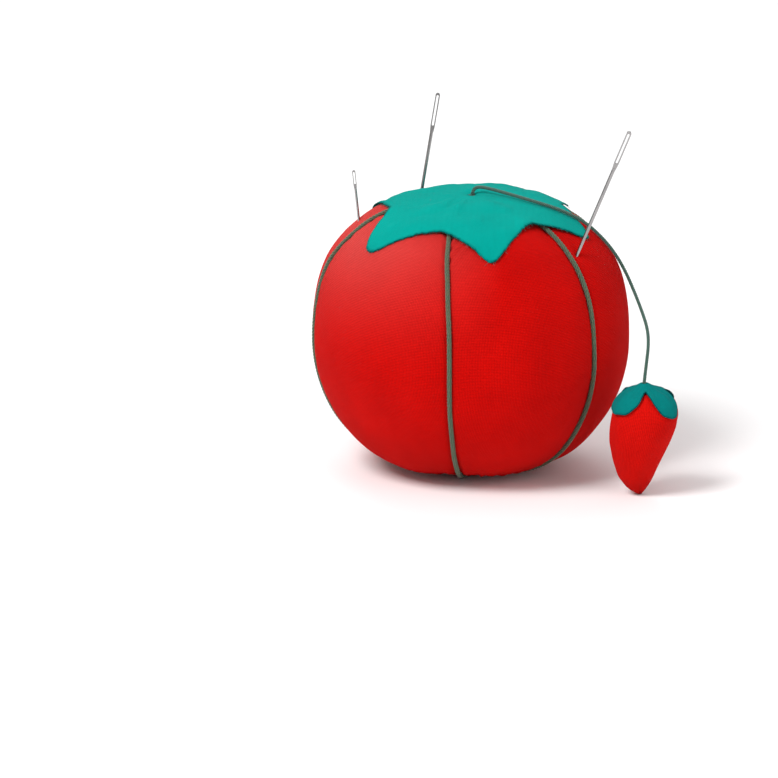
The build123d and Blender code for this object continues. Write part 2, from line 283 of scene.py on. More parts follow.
thread = {
    "hairGrain": 5200,
    "dyeGrain": 420,
    "fibreTurns": 4,  # fibres seen round a strand
    "fibreLay": 0.0011,
    "fibreShare": 0.22,
    "hairShare": 0.9,
    "lighter": 0.02,
    "patchFrom": 0.45,
    "patchContrast": 3.0,
    "roughness": 0.6,
    "hairRoughness": 0.25,
    "hairRelief": 1.5,
    "relief": 0.00005,
    "sheen": 0.25,
}


def twistedThread(name, bright, deep, other):
    recipe = Recipe(name)
    place = recipe.add("ShaderNodeUVMap", uv_map="cloth").outputs["UV"]
    split = recipe.add("ShaderNodeSeparateXYZ")
    recipe.join(place, split.inputs[0])
    around = recipe.sums("MULTIPLY", split.outputs[0], 2 * math.pi * thread["fibreTurns"])
    along = recipe.sums("MULTIPLY", split.outputs[1], 2 * math.pi / thread["fibreLay"])
    fibres = recipe.sums("SINE", recipe.sums("ADD", around, along))
    hairs = recipe.grain(thread["hairGrain"])
    dye = recipe.grain(thread["dyeGrain"])
    hairTone = recipe.sums("MULTIPLY", hairs, thread["hairShare"])
    share = recipe.timesPlus(fibres, thread["fibreShare"], hairTone)
    share = recipe.sums("ADD", share, thread["lighter"], clamp=True)
    colour = recipe.blendTones(share, deep, bright)
    patch = recipe.sums("SUBTRACT", dye, thread["patchFrom"])
    patch = recipe.sums("MULTIPLY", patch, thread["patchContrast"], clamp=True)
    colour = recipe.blendTones(patch, colour, other)
    recipe.join(colour, recipe.shader.inputs["Base Color"])
    rough = recipe.timesPlus(hairs, thread["hairRoughness"], thread["roughness"])
    recipe.join(rough, recipe.shader.inputs["Roughness"])
    recipe.shader.inputs["Sheen Weight"].default_value = thread["sheen"]
    recipe.relief(recipe.timesPlus(hairs, thread["hairRelief"], fibres), thread["relief"])
    return recipe.material


needleFinish = {
    "streakGrain": 1500,
    "filmGrain": 160,
    "dull": tint(132, 130, 131),
    "bright": tint(176, 173, 172),
    "roughness": 0.14,
    "streakRoughness": 0.16,
    "relief": 0.000004,
}


def needleSteel(name):
    recipe = Recipe(name)
    streaks = recipe.grain(needleFinish["streakGrain"], 2.0)
    film = recipe.grain(needleFinish["filmGrain"])
    colour = recipe.blendTones(film, needleFinish["dull"], needleFinish["bright"])
    recipe.join(colour, recipe.shader.inputs["Base Color"])
    recipe.shader.inputs["Metallic"].default_value = 1.0
    rough = recipe.timesPlus(streaks, needleFinish["streakRoughness"], needleFinish["roughness"])
    recipe.join(rough, recipe.shader.inputs["Roughness"])
    recipe.relief(streaks, needleFinish["relief"])
    return recipe.material


# name, light tone, deep tone, pitch of the threads, depth of the weave, and the cut edge's tone
# the red cover carries the painted sheen high up on the left
redCloth = wovenCloth("redCotton", tint(228, 14, 8), tint(156, 2, 2), 0.00044, 0.0002, withPaintedSheen=True)
berryCloth = wovenCloth("strawberryCotton", tint(232, 22, 14), tint(160, 4, 4), 0.00040, 0.00015)
leafCloth = wovenCloth(
    "leafCotton", tint(0, 166, 153), tint(0, 128, 120), 0.00034, 0.00008, tint(4, 66, 64)
)
capCloth = wovenCloth(
    "capCotton", tint(6, 134, 128), tint(2, 90, 94), 0.00034, 0.00008, tint(4, 52, 58)
)
seamThread = twistedThread("seamYarn", tint(92, 120, 88), tint(14, 30, 18), tint(84, 86, 56))
hangThread = twistedThread("hangingYarn", tint(66, 118, 98), tint(8, 32, 28), tint(40, 84, 74))
frayThread = twistedThread("leafThreads", tint(10, 132, 124), tint(2, 60, 60), tint(6, 96, 92))
paleThread = twistedThread("gatherThread", tint(206, 60, 52), tint(120, 16, 14), tint(180, 40, 34))
steel = needleSteel("needleSteel")
print("materials are mixed")


# meshes and yarn

def meshPiece(name, points, faces, corners, material, body):
    mesh = bpy.data.meshes.new(name)
    mesh.from_pydata([tuple(p) for p in points], [], [tuple(int(i) for i in f) for f in faces])
    layer = mesh.uv_layers.new(name="cloth")
    layer.data.foreach_set("uv", np.asarray(corners, np.float32).reshape(-1))
    mesh.polygons.foreach_set("use_smooth", [True] * len(mesh.polygons))
    mesh.materials.append(material)
    mesh.update()
    piece = bpy.data.objects.new(name, mesh)
    bpy.context.collection.objects.link(piece)
    if body:
        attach(piece, body)
    return piece


def smoothLine(points):
    route = bpy.data.curves.new("routeDraft", "CURVE")
    route.dimensions = "3D"
    route.resolution_u = 24
    spline = route.splines.new("NURBS")
    spline.points.add(len(points) - 1)
    for knot, point in zip(spline.points, points):
        knot.co = (*point, 1)
    spline.order_u = 3
    spline.use_endpoint_u = True
    holder = bpy.data.objects.new("routeDraft", route)
    bpy.context.collection.objects.link(holder)
    bpy.context.view_layer.update()
    draft = bpy.data.meshes.new_from_object(holder)
    line = np.array([v.co for v in draft.vertices])
    bpy.data.objects.remove(holder)
    bpy.data.meshes.remove(draft)
    bpy.data.curves.remove(route)
    return line


def evenLine(line, step):
    gaps = np.linalg.norm(np.diff(line, axis=0), axis=1)
    run = np.concatenate([[0], np.cumsum(gaps)])
    count = max(4, int(run[-1] / step))
    marks = np.linspace(0, run[-1], count + 1)
    return np.stack([np.interp(marks, run, line[:, k]) for k in range(3)], 1), marks


def framesAlong(line, closed=False):
    ahead = np.roll(line, -1, 0) - np.roll(line, 1, 0) if closed else np.gradient(line, axis=0)
    ahead /= np.linalg.norm(ahead, axis=1)[:, None]
    side = np.cross(ahead[0], (0.31, 0.17, 0.93))  # any direction that the line doesn't start in
    side /= np.linalg.norm(side)
    sides = []
    for direction in ahead:
        side = side - direction * side.dot(direction)
        side = side / np.linalg.norm(side)
        sides.append(side)
    sides = np.array(sides)
    return sides, np.cross(ahead, sides)


def tubeParts(line, radius, sides, closed, first, marks):
    across, upward = framesAlong(line, closed)
    angles = np.arange(sides) * 2 * math.pi / sides
    radii = radius if hasattr(radius, "__len__") else np.full(len(line), radius)
    rings = line[:, None] + radii[:, None, None] * (
        np.cos(angles)[None, :, None] * across[:, None] + np.sin(angles)[None, :, None] * upward[:, None]
    )
    points = rings.reshape(-1, 3).tolist()
    faces, corners = [], []
    last = len(line) if closed else len(line) - 1
    for i in range(last):
        j = (i + 1) % len(line)
        low, high = marks[i], marks[i] + marks[1] - marks[0]
        here, there = first + i * sides, first + j * sides
        for k in range(sides):
            n = (k + 1) % sides
            faces.append([here + k, here + n, there + n, there + k])
            left, right = k / sides, (k + 1) / sides
            corners.append([(left, low), (right, low), (right, high), (left, high)])
    if not closed:
        for i, flip in ((0, True), (len(line) - 1, False)):
            points.append(line[i].tolist())
            centre = first + len(points) - 1
            for k in range(sides):
                n = (k + 1) % sides
                pair = (n, k) if flip else (k, n)
                faces.append([centre, first + i * sides + pair[0], first + i * sides + pair[1]])
                corners.append([(0.5, marks[i])] * 3)
    return points, faces, corners


yarn = {"strands": 3, "strandShare": 0.47, "sides": 8}


def twistedYarn(name, line, diameter, lay, step, material, body, closed=False):
    if closed:
        line = np.vstack([line, line[:1]])
    path, marks = evenLine(line, step)
    if closed:
        path, marks = path[:-1], marks[:-1]
    across, upward = framesAlong(path, closed)
    strand = diameter / 2 * yarn["strandShare"]
    offset = diameter / 2 - strand
    turns = 2 * math.pi * marks / lay
    if closed:
        whole = round(turns[-1] / (2 * math.pi)) * 2 * math.pi
        turns = turns * whole / turns[-1] * (len(path) - 1) / len(path)
    points, faces, corners = [], [], []
    for k in range(yarn["strands"]):
        angle = (turns + k * 2 * math.pi / yarn["strands"])[:, None]
        centre = path + offset * (np.cos(angle) * across + np.sin(angle) * upward)
        more = tubeParts(centre, strand, yarn["sides"], closed, len(points), marks)
        points += more[0]
        faces += more[1]
        corners += more[2]
    flat = [pair for face in corners for pair in face]
    return meshPiece(name, points, faces, flat, material, body), path


# hanging cord

hangingCord = {  # metres
    "diameter": 0.00105,
    "length": 0.0997,
    "lay": 0.0021,
    "step": 0.00025,
    "exit": (0, 0, 0.07985),
    "route": (
        (0, 0, 0.07985),
        (0.0002, 0, 0.0813),
        (0.0018, -0.0003, 0.0821),
        (0.0048, -0.0014, 0.0818),
        (0.0095, -0.0036, 0.081),
        (0.0168, -0.0066, 0.0795),
        (0.0245, -0.0072, 0.0772),
        (0.0315, -0.006, 0.0735),
        (0.0368, -0.0045, 0.0684),
        (0.0408, -0.0036, 0.0632),
        (0.0439, -0.0038, 0.0577),
        (0.0462, -0.0078, 0.053),
        (0.0482, -0.014, 0.0489),
        (0.0496, -0.0216, 0.0456),
        (0.0496, -0.0286, 0.0426),
        (0.0488, -0.033, 0.0384),
        (0.0482, -0.0342, 0.0332),
    ),
    "bendFrom": (0.0408, -0.0036, 0.0632),
    "bendTo": (0.0439, -0.0038, 0.0577),
}


def hangCord():
    line = smoothLine(hangingCord["route"])
    piece, path = twistedYarn(
        "hangingCord",
        line,
        hangingCord["diameter"],
        hangingCord["lay"],
        hangingCord["step"],
        hangThread,
        None,
    )
    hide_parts("hanging_cord_top", "hanging_cord_end")
    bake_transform(piece)


hangCord()
print("hanging cord is laid")


# tomato

tomato = {  # millimetres and degrees
    "arcs": (  # centre's distance from the axis and height, radius, first and last angle
        (0, -8.6, 88.0, 90.0, 77.0),
        (12.76, 46.67, 31.27, 77.0, 14.0),
        (-18.82, 38.8, 63.82, 14.0, 0.0),
        (1.6, 38.8, 43.4, 0.0, -40.0),
        (10.34, 31.47, 32.0, -40.0, -79.4),
    ),
    "arcSteps": 160,
    "flatSteps": 20,
    "dimpleSteps": 30,
    "skinSteps": 1200,
    "footOuter": 16.0,
    "footFlat": 9.0,
    "footDimple": 2.6,
    "footHole": 1.4,
    "crownTop": 78.6,
    "firstRun": 0.9,  # a run is a length along the skin, from the crown down
    "seams": (-85, -9, 51, 105, 162, 218),
    "lean": (0, -17, 0, 0, 6, -6),  # how far each seam turns aside at the crown
    "columns": 72,  # of one panel
    "crowding": 0.45,  # columns stand closer beside the seams
    "rows": 215,
    "valley": 0.75,
    "valleyWidth": 6.5,
    "crease": 0.8,
    "creaseWidth": 1.2,
    "bulge": 0.25,
    "fullFrom": 30,  # distance from the axis where valleys and bulges are complete
    "seamDepths": (0.45, 1, 1, 1, 1, 1),
    "crownGather": 24,
    "footGather": 27,
    "gatherSoftness": 2.2,
    "entries": ((-14.6, 26.0), (29.7, -20.0), (-32.4, 5.5)),  # where the needles go in
    "entriesAbove": 60,
    "entryDip": 0.45,
    "entrySpread": 1.6,
}

swelling = {  # the left side is fuller than the outline
    "most": 0.85,
    "azimuth": -97,
    "narrowness": 1.5,
    "start": 35,
    "startWidth": 14,
    "end": 24,
    "endWidth": 22,
}

ripples = {
    "broad": (2.3, 26, 0.42),  # changes round the body, length along it, height
    "lumps": (6.5, 9, 0.14),
    "gathers": (13, 34, 1.15),
    "fineGathers": (31, 22, 0.5),
    "crownShare": 0.75,
    "tugLength": 2.6,
    "tugSlant": 2.2,
    "tugReach": 3.4,
    "tug": 0.24,
    "shoulderTug": 0.6,
    "footTug": 0.3,
    "shoulder": 33,
    "shoulderWidth": 9,
    "highest": 0.42,
    "rolled": 0.75,
    "rolledWidth": 6,
}

pucker = {  # short folds beside the front cord
    "panel": 1,
    "within": 14,
    "before": 15,
    "height": 0.5,
    "slant": 1.3,
    "pitch": 0.68,
    "reach": 5.5,
}


def tomatoOutline():
    points = []
    for centreR, centreZ, radius, start, end in tomato["arcs"]:
        for angle in np.radians(np.linspace(start, end, tomato["arcSteps"])):
            points.append((centreR + radius * math.cos(angle), centreZ + radius * math.sin(angle)))
    points = [(max(r, 0.0), max(z, 0.0)) for r, z in points]
    flat = np.linspace(tomato["footOuter"], tomato["footFlat"], tomato["flatSteps"])
    points += [(r, 0.0) for r in flat]
    for share in np.linspace(0.05, 1, tomato["dimpleSteps"]):
        r = tomato["footFlat"] + (tomato["footHole"] - tomato["footFlat"]) * share
        points.append((r, tomato["footDimple"] * (0.5 - 0.5 * math.cos(math.pi * share))))
    points = np.array(points)
    keep = np.concatenate([[True], np.linalg.norm(np.diff(points, axis=0), axis=1) > 1e-4])
    points = points[keep]
    run = np.concatenate([[0], np.cumsum(np.linalg.norm(np.diff(points, axis=0), axis=1))])
    even = np.linspace(0, run[-1], tomato["skinSteps"])
    radii = np.interp(even, run, points[:, 0])
    heights = np.interp(even, run, points[:, 1])
    slopeR, slopeZ = np.gradient(radii, even), np.gradient(heights, even)
    return {"run": even, "r": radii, "z": heights, "nr": -slopeZ, "nz": slopeR}


outline = tomatoOutline()
skinLength = outline["run"][-1]
topRuns = outline["run"][: int(np.argmax(outline["r"]))]
topRadii = outline["r"][: len(topRuns)]
footRun = outline["run"][int(np.argmax(outline["z"] < 0.15))]


def alongSkin(run):
    return [np.interp(run, outline["run"], outline[key]) for key in ("r", "z", "nr", "nz")]


def seamAzimuth(number, run):
    share = np.maximum(1 - 2 * np.asarray(run) / skinLength, 0)
    return tomato["seams"][number] + tomato["lean"][number] * share**2


def polarPoints(run, azimuth, offset):
    r, z, nr, nz = alongSkin(run)
    angle = np.radians(azimuth)
    reach = r + nr * offset
    return np.stack([reach * np.sin(angle), -reach * np.cos(angle), z + nz * offset], -1)


def sideSwell(azimuth, run):
    facing = np.maximum(np.cos(np.radians(azimuth - swelling["azimuth"])), 0)
    start = np.clip((run - swelling["start"]) / swelling["startWidth"], 0, 1)
    stop = np.clip((skinLength - swelling["end"] - run) / swelling["endWidth"], 0, 1)
    share = start * start * (3 - 2 * start) * stop * stop * (3 - 2 * stop)
    return swelling["most"] * facing ** swelling["narrowness"] * share


def gatherMask(run, reach):
    return 1 / (1 + np.exp((run - reach) / tomato["gatherSoftness"]))


def tomatoPoints():
    runs = np.linspace(tomato["firstRun"], skinLength, tomato["rows"])
    grids, places = [], []
    for panel in range(6):
        low = seamAzimuth(panel, runs)
        high = seamAzimuth((panel + 1) % 6, runs) + (360 if panel == 5 else 0)
        shares = np.linspace(0, 1, tomato["columns"] + 1)
        shares = shares - tomato["crowding"] * np.sin(2 * math.pi * shares) / (2 * math.pi)
        azimuth = low[:, None] + (high - low)[:, None] * shares[None]
        r = alongSkin(runs)[0]
        fromLow = r[:, None] * np.radians(azimuth - low[:, None])
        fromHigh = r[:, None] * np.radians(high[:, None] - azimuth)
        nearest = np.minimum(fromLow, fromHigh)
        middle = np.sin(math.pi * np.clip(shares, 0, 1))[None]
        fade = np.clip(r / tomato["fullFrom"], 0, 1)[:, None]
        offset = tomato["bulge"] * middle * fade
        depths = tomato["seamDepths"]
        depth = np.where(fromLow < fromHigh, depths[panel], depths[(panel + 1) % 6])
        valley = np.exp(-((nearest / tomato["valleyWidth"]) ** 2))
        offset = offset - depth * tomato["valley"] * valley * fade
        offset = offset - tomato["crease"] * np.exp(-((nearest / tomato["creaseWidth"]) ** 2))
        crown = gatherMask(runs, tomato["crownGather"])
        foot = gatherMask(skinLength - runs, tomato["footGather"])
        grids.append((azimuth, offset, nearest, crown, foot, r))
        places.append(azimuth - (low + high)[:, None] / 2)
    return grids, places, runs


def rippleOf(kind, x, y, run, shift=0):
    changes, length, height = ripples[kind]
    return noise.noise(Vector((x * changes, y * changes, run / length + shift))) * height


def seamRipple(panel, azimuth, run, nearest, crown, foot):
    x = math.sin(math.radians(azimuth))
    y = -math.cos(math.radians(azimuth))
    broad = rippleOf("broad", x, y, run, 5)
    lumps = rippleOf("lumps", x, y, run)
    slope = run / ripples["tugLength"] + nearest / ripples["tugSlant"]
    tug = noise.noise(Vector((slope, panel * 3.1, 0.7 * (azimuth > 0))))
    tug *= math.exp(-nearest / ripples["tugReach"])
    fromShoulder = run - ripples["shoulder"]
    shoulder = math.exp(-((fromShoulder / ripples["shoulderWidth"]) ** 2))
    pull = ripples["tug"] + ripples["shoulderTug"] * shoulder + ripples["footTug"] * foot
    gathers = abs(rippleOf("gathers", x, y, run)) + abs(rippleOf("fineGathers", x, y, run))
    gather = -gathers * max(crown * ripples["crownShare"], foot)
    folds = 0.0
    if panel == pucker["panel"] and nearest < pucker["within"] and azimuth < pucker["before"]:
        folds = pucker["height"] * math.sin((run + pucker["slant"] * nearest) / pucker["pitch"])
        folds *= math.exp(-((nearest / pucker["reach"]) ** 2))
        folds *= math.exp(-((fromShoulder / pucker["reach"]) ** 2))
    rolled = -ripples["rolled"] * math.exp(-(((run - footRun) / ripples["rolledWidth"]) ** 2))
    return broad + lumps + tug * pull + gather + folds + rolled


def buildTomato():
    grids, places, runs = tomatoPoints()
    rows, columns = tomato["rows"], tomato["columns"]
    shifts = []
    entryPoints = [Vector((x, y, 0)) for x, y in tomato["entries"]]
    for panel, (azimuth, offset, nearest, crown, foot, r) in enumerate(grids):
        swell = sideSwell(azimuth, runs[:, None])
        for i in range(rows):
            for j in range(columns):
                shift = offset[i, j] + seamRipple(
                    panel, azimuth[i, j], runs[i], nearest[i, j], crown[i], foot[i]
                )
                shift = min(shift, ripples["highest"]) + swell[i, j]
                angle = math.radians(azimuth[i, j])
                flat = Vector((r[i] * math.sin(angle), -r[i] * math.cos(angle), 0))
                if runs[i] < tomato["entriesAbove"]:
                    for entry in entryPoints:
                        near = math.exp(-((flat - entry).length_squared) / tomato["entrySpread"])
                        shift -= tomato["entryDip"] * near
                shifts.append(shift)
    shifts = np.array(shifts).reshape(6, rows, columns)
    points = np.zeros((rows, 6 * columns, 3))
    for panel in range(6):
        azimuth = grids[panel][0][:, :columns]
        block = polarPoints(runs[:, None] * np.ones_like(azimuth), azimuth, shifts[panel])
        points[:, panel * columns : (panel + 1) * columns] = block
    points[:, :, 2] = np.maximum(points[:, :, 2], 0.02)
    faces, corners = [], []
    total = 6 * columns
    for panel in range(6):
        across = grids[panel][5][:, None] * np.radians(places[panel])
        for i in range(rows - 1):
            for j in range(columns):
                a = panel * columns + j
                b = (a + 1) % total
                faces.append((i * total + a, (i + 1) * total + a, (i + 1) * total + b, i * total + b))
                corners += [
                    (across[i, j], runs[i]),
                    (across[i + 1, j], runs[i + 1]),
                    (across[i + 1, j + 1], runs[i + 1]),
                    (across[i, j + 1], runs[i]),
                ]
    points = points.reshape(-1, 3).tolist()
    for row, height in ((0, tomato["crownTop"]), (rows - 1, tomato["footDimple"] + 0.3)):
        points.append([0, 0, height])
        for a in range(total):
            b = (a + 1) % total
            ring = (row * total + a, row * total + b)
            faces.append((len(points) - 1, *(ring if row == 0 else ring[::-1])))
            corners += [(0, runs[row])] * 3
    scaled = np.array(points) * millimetre
    piece = meshPiece(
        "tomatoCover", scaled, faces, np.array(corners) * millimetre, redCloth, "cushion"
    )
    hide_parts("cover", "stuffing")


buildTomato()
print("tomato is sewn and stuffed")


# seam cords

seamCord = {  # millimetres
    "diameter": 1.45,
    "lay": 2.9,
    "step": 0.36,
    "from": 2.6,
    "stopsBefore": 1.0,
    "spacing": 0.8,
    "sway": 0.315,
    "swayLength": 11,
    "sunk": 0.8,
    "shallower": 0.7,  # how much less it sinks in a seam with no valley
}


def laySeamCords():
    for number in range(6):
        runs = np.arange(seamCord["from"], skinLength - seamCord["stopsBefore"], seamCord["spacing"])
        drift = [noise.noise(Vector((run / seamCord["swayLength"], number * 7.3, 2))) for run in runs]
        sway = seamCord["sway"] * np.array(drift)
        r = alongSkin(runs)[0]
        azimuth = seamAzimuth(number, runs) + np.degrees(sway / np.maximum(r, 6))
        sunk = seamCord["sunk"] - (1 - tomato["seamDepths"][number]) * seamCord["shallower"]
        line = polarPoints(runs, azimuth, sideSwell(azimuth, runs) - sunk)
        line[:, 2] = np.maximum(line[:, 2], seamCord["diameter"] / 2)
        piece, _ = twistedYarn(
            f"seamCord{number + 1}",
            line * millimetre,
            seamCord["diameter"] * millimetre,
            seamCord["lay"] * millimetre,
            seamCord["step"] * millimetre,
            seamThread,
            "cushion",
        )
        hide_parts(f"seam_cord_{number + 1}")


laySeamCords()
print("seam cords are drawn in")


# leaf

leaf = {  # azimuth in degrees and distance in millimetres, of each tip and notch
    "tips": (
        (-59, 34.0),
        (-52, 34.8),
        (8.5, 35.3),
        (70, 34.2),
        (122, 31.2),
        (190, 34.0),
        (236, 33.4),
    ),
    "notches": ((-19, 27.0), (39, 25.8), (97, 25.8), (156, 25), (214, 25.5), (282, 24.0)),
    "columns": 480,
    "rows": 44,
    "rowSpacing": 0.85,
    "hole": 0.7,
    "lift": 0.45,
    "lowest": 0.42,
    "highest": 1.3,
    "folds": (8, 0.95),  # length and height
    "ripple": (3.5, 0.16),
    "cordAzimuth": 73,  # it lies flat where the hanging cord passes over it
    "flatWithin": 14,
    "freeAfter": 22,
    "creases": (  # azimuth and its width, distance and its width, height
        (-30, 5, 10, 7, -0.45),
        (-18, 6, 12, 8, 0.6),
        (-45, 8, 12, 8, 0.48),
    ),
    "edgeLift": 0.12,
    "edgeWave": 0.45,
    "edgeWaveLength": 5,
    "edgeUnderCord": 0.35,
    "rimDrop": 0.45,
    "centreDip": 0.75,
    "centreWidth": 2.2,
    "nicks": 0.3,
    "rimWidth": 0.8,
    "thickness": 0.32,
    "tipAllowance": 1.7,
    "notchShare": 0.3,  # of that allowance, taken off at the notches
    "rounding": 3.0,
    "flat": (0.078, 0.078),
    "area": 0.00307,
}


star = {"step": 0.25, "halfWindow": 60}  # degrees, and steps to each side


def starRadius(tips, notches, azimuths, spread, allowance):
    out = [(a % 360, r + allowance) for a, r in tips]
    back = [(a % 360, r - leaf["notchShare"] * allowance) for a, r in notches]
    corners = sorted(out + back)
    before = (corners[-1][0] - 360, corners[-1][1])
    after = (corners[0][0] + 360, corners[0][1])
    corners = [before, *corners, after]
    step, half = star["step"], star["halfWindow"]
    fine = np.arange(0, 360, step)
    radii = np.zeros(len(fine))
    for (a0, r0), (a1, r1) in zip(corners[:-1], corners[1:]):
        inside = (fine >= a0) & (fine <= a1)
        rise, fall = np.radians(fine[inside] - a0), np.radians(a1 - fine[inside])
        straight = r0 * r1 * math.sin(math.radians(a1 - a0))
        radii[inside] = straight / (r0 * np.sin(rise) + r1 * np.sin(fall))
    window = np.exp(-0.5 * (np.arange(-half, half + 1) * step / spread) ** 2)
    window /= window.sum()
    radii = np.convolve(np.concatenate([radii[-half:], radii, radii[:half]]), window, "valid")
    return np.interp(np.asarray(azimuths) % 360, np.append(fine, 360), np.append(radii, radii[0]))


def leafLift(azimuth, radius, share):
    x, y = radius * math.sin(math.radians(azimuth)), -radius * math.cos(math.radians(azimuth))
    away = abs((azimuth - leaf["cordAzimuth"] + 180) % 360 - 180)
    freedom = min(1.0, max(0.0, (away - leaf["flatWithin"]) / leaf["freeAfter"]))
    length, height = leaf["folds"]
    folds = noise.noise(Vector((x / length, y / length, 3))) * height * freedom
    length, height = leaf["ripple"]
    ripple = noise.noise(Vector((x / length, y / length, 8))) * height * freedom
    crease = 0.0
    for at, width, distance, spread, height in leaf["creases"]:
        across = math.exp(-(((azimuth - at) / width) ** 2))
        crease += height * across * math.exp(-(((radius - distance) / spread) ** 2))
    length = leaf["edgeWaveLength"]
    edge = leaf["edgeLift"] + leaf["edgeWave"] * noise.noise(Vector((x / length, y / length, 1)))
    edge *= share**8 * (leaf["edgeUnderCord"] + (1 - leaf["edgeUnderCord"]) * freedom)
    dimple = -leaf["centreDip"] * math.exp(-((radius / leaf["centreWidth"]) ** 2))
    lift = max(leaf["lift"] + folds + ripple + crease + edge, leaf["lowest"])
    return min(lift, leaf["highest"] - leaf["rimDrop"] * share**4) + dimple


def clothFromGrid(name, points, shape, uvs, nearEdge, thickness, material, body):
    rows, columns = shape
    faces, corners = [], []
    for i in range(rows - 1):
        for j in range(columns):
            n = (j + 1) % columns
            ids = (i * columns + j, (i + 1) * columns + j, (i + 1) * columns + n, i * columns + n)
            faces.append(ids)
            corners += [uvs[k] for k in ids]
    piece = meshPiece(name, points, faces, corners, material, None)
    shadeOfEdge = piece.data.attributes.new("nearEdge", "FLOAT", "POINT")
    shadeOfEdge.data.foreach_set("value", np.asarray(nearEdge, np.float32))
    wall = piece.modifiers.new("thickness", "SOLIDIFY")
    wall.thickness = thickness
    wall.offset = 1.0
    wall.use_even_offset = False
    bpy.ops.object.select_all(action="DESELECT")
    piece.select_set(True)
    bpy.context.view_layer.objects.active = piece
    bpy.ops.object.modifier_apply(modifier="thickness")
    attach(piece, body)
    return piece


def buildLeaf():
    azimuths = np.arange(leaf["columns"]) * 360 / leaf["columns"]
    rim = starRadius(leaf["tips"], leaf["notches"], azimuths, leaf["rounding"], leaf["tipAllowance"])
    angles = np.radians(azimuths)
    nicks = [noise.noise(Vector((math.sin(a) * 40, math.cos(a) * 40, 4))) for a in angles]
    rim = rim + np.array(nicks) * leaf["nicks"]
    shares = np.linspace(0, 1, leaf["rows"]) ** leaf["rowSpacing"]
    points, uvs, nearEdge = [], [], []
    for share in shares:
        radii = leaf["hole"] + (rim - leaf["hole"]) * share
        runs = np.interp(radii, topRadii, topRuns)
        places = zip((azimuths + 180) % 360 - 180, radii)
        lifts = np.array([leafLift(azimuth, radius, share) for azimuth, radius in places])
        points.append(polarPoints(runs, azimuths, lifts))
        uvs += np.stack([runs * np.sin(angles), -runs * np.cos(angles)], 1).tolist()
        nearEdge += np.clip(1 - (rim - radii) / leaf["rimWidth"], 0, 1).tolist()
    points = np.concatenate(points) * millimetre
    uvs = (np.array(uvs) * millimetre).tolist()
    piece = clothFromGrid(
        "leafCloth",
        points,
        (leaf["rows"], leaf["columns"]),
        uvs,
        nearEdge,
        leaf["thickness"] * millimetre,
        leafCloth,
        "cushion",
    )
    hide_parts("leaf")
    return piece, rim, azimuths


fray = {  # loose threads at the leaf's cut edge
    "count": 300,
    "length": 0.8,
    "diameter": 0.09,
    "lift": 0.62,
    "shares": (0, 0.35, 0.7, 1),
    "taper": (1, 0.9, 0.75, 0.45),
    "sides": 4,
    "scatter": 1.6,
    "setBack": 0.3,
    "shortest": 0.75,
    "longer": 1.1,
    "sway": 2.2,
    "liftChange": 0.3,
    "droop": 0.25,
}


def frayLeaf(rim, azimuths):
    points, faces, corners = [], [], []
    for number in range(fray["count"]):
        dice = [noise.noise(Vector((number * 3.7, k * 5.1, 0.5))) for k in range(5)]
        azimuth = 360 * (number + dice[0] * fray["scatter"]) / fray["count"]
        start = float(np.interp(azimuth % 360, azimuths, rim)) - fray["setBack"]
        reach = fray["length"] * (fray["shortest"] + fray["longer"] * dice[1])
        line = []
        for share in fray["shares"]:
            radius = start + reach * share
            run = np.interp(radius, topRadii, topRuns)
            aside = reach * (dice[2] * fray["sway"] * share + dice[3] * share**2)
            swing = azimuth + math.degrees(aside / radius)
            lift = fray["lift"] + dice[4] * fray["liftChange"] - fray["droop"] * share**2
            line.append(polarPoints(run, swing, lift))
        marks = np.array(fray["shares"]) * reach
        width = fray["diameter"] / 2 * np.array(fray["taper"])
        more = tubeParts(np.array(line), width, fray["sides"], False, len(points), marks)
        points += more[0]
        faces += more[1]
        corners += [pair for face in more[2] for pair in face]
    return meshPiece(
        "leafFray",
        np.array(points) * millimetre,
        faces,
        np.array(corners) * millimetre,
        frayThread,
        "cushion",
    )


leafPiece, leafRim, leafAzimuths = buildLeaf()
fringe = frayLeaf(leafRim, leafAzimuths)
print("leaf is draped")


# strawberry

strawberry = {  # millimetres and degrees
    "foot": (48.2403, -31.6265, 0.0119),
    "axis": (0, -0.078459, 0.996917),
    "outline": (  # height, radius, shift to the side
        (0.0, 0.25, -0.6),
        (0.7, 1.5, -1.2),
        (1.9, 2.8, -1.7),
        (5.3, 4.95, -2.1),
        (10.4, 7.0, -1.8),
        (15.5, 8.45, -1.1),
        (20.6, 9.35, -0.2),
        (24.6, 9.5, 0.4),
        (28.0, 8.4, 0.6),
        (30.2, 6.2, 0.5),
        (31.4, 3.2, 0.2),
        (31.6, 0.35, 0.0),
    ),
    "columns": 144,
    "rows": 120,
    "smoothing": 37,
    "clothRadius": 7,
    "seamRadius": 8,
    "flattened": 0.94,
    "seamAzimuth": 165,
    "seamDepth": 0.38,
    "seamTug": 0.16,
    "seamWidth": 0.8,
    "lumps": 0.3,
    "gatherLength": 11,
    "gathers": 1.1,
    "tipLength": 6,
    "tipFolds": 0.5,
    "capColumns": 288,
    "capRows": 30,
    "capRounding": 5.0,
    "capAllowance": 1.1,
    "capScale": 1.28,
    "capHole": 0.2,
    "capLift": 0.34,
    "capLowest": 0.26,
    "capPleats": 0.35,
    "capPeak": 1.3,
    "capPeakWidth": 1.9,
    "capRimLift": 0.25,
    "capRimWidth": 0.7,
    "capTips": (
        (-92, 8.0),
        (-62, 8.4),
        (-36, 7.8),
        (-14, 5.2),
        (12, 5.2),
        (28, 7.8),
        (48, 9.0),
        (66, 8.4),
        (122, 8.2),
        (150, 8.0),
        (204, 8.0),
        (228, 8.0),
    ),
    "capNotches": ((-1, 2.3), (93, 3.9), (180, 3.9), (249, 3.8)),
    "capThickness": 0.32,
    "capFlat": (0.023, 0.023),
    "capArea": 0.00027,
}


